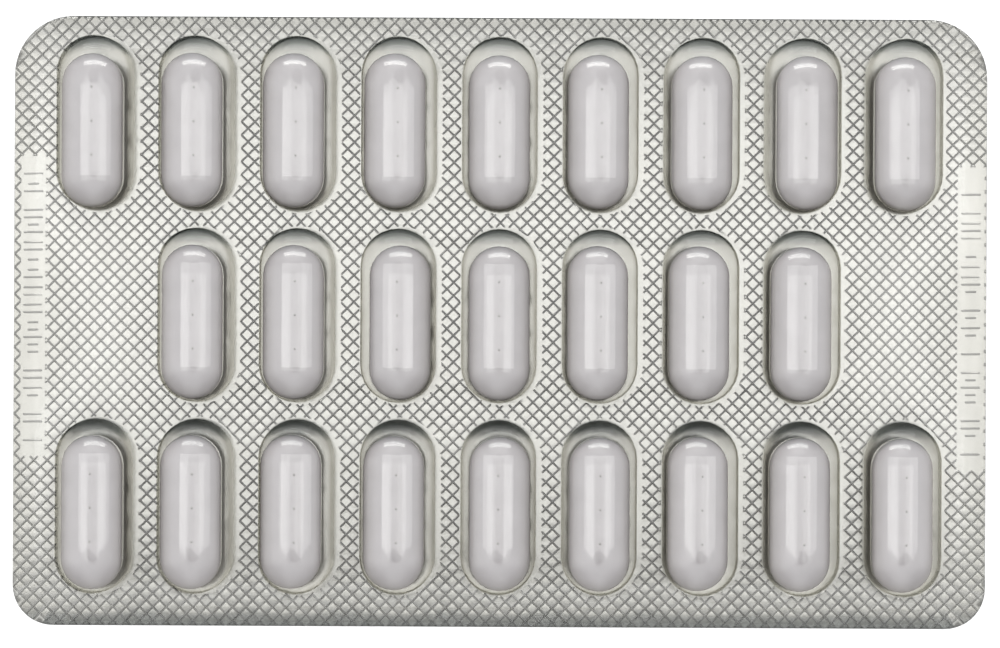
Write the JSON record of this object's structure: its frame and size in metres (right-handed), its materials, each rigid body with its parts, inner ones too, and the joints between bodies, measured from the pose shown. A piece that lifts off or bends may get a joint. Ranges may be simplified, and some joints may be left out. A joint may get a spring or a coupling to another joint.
{
  "type": "tablet blister pack",
  "caption": "Flat push-through blister card: clear thermoformed film with rows of oblong pockets, each holding a white tablet, sealed by a knurled aluminium foil.",
  "frame": {"origin": "middle of the foil's underside, the face the pack lies on", "axes": "+X along the card's long side, +Y across it towards the edge with the larger corner radii, +Z out of the pockets"},
  "size_m": [0.125, 0.0782, 0.0071],
  "materials": {
    "clear_film": "clear glossy rigid film",
    "foil": "bright foil, knurled by the sealing plate",
    "tablet": "smooth semi-gloss film coat"
  },
  "bodies": {
    "root": {"blister_film": "clear_film", "lidding_foil": "foil", "tablet_01": "tablet", "tablet_02": "tablet", "tablet_03": "tablet", "tablet_04": "tablet", "tablet_05": "tablet", "tablet_06": "tablet", "tablet_07": "tablet", "tablet_08": "tablet", "tablet_09": "tablet", "tablet_10": "tablet", "tablet_11": "tablet", "tablet_12": "tablet", "tablet_13": "tablet", "tablet_14": "tablet", "tablet_15": "tablet", "tablet_16": "tablet", "tablet_17": "tablet", "tablet_18": "tablet", "tablet_19": "tablet", "tablet_20": "tablet", "tablet_21": "tablet", "tablet_22": "tablet", "tablet_23": "tablet", "tablet_24": "tablet", "tablet_25": "tablet"}
  },
  "joints": []
}
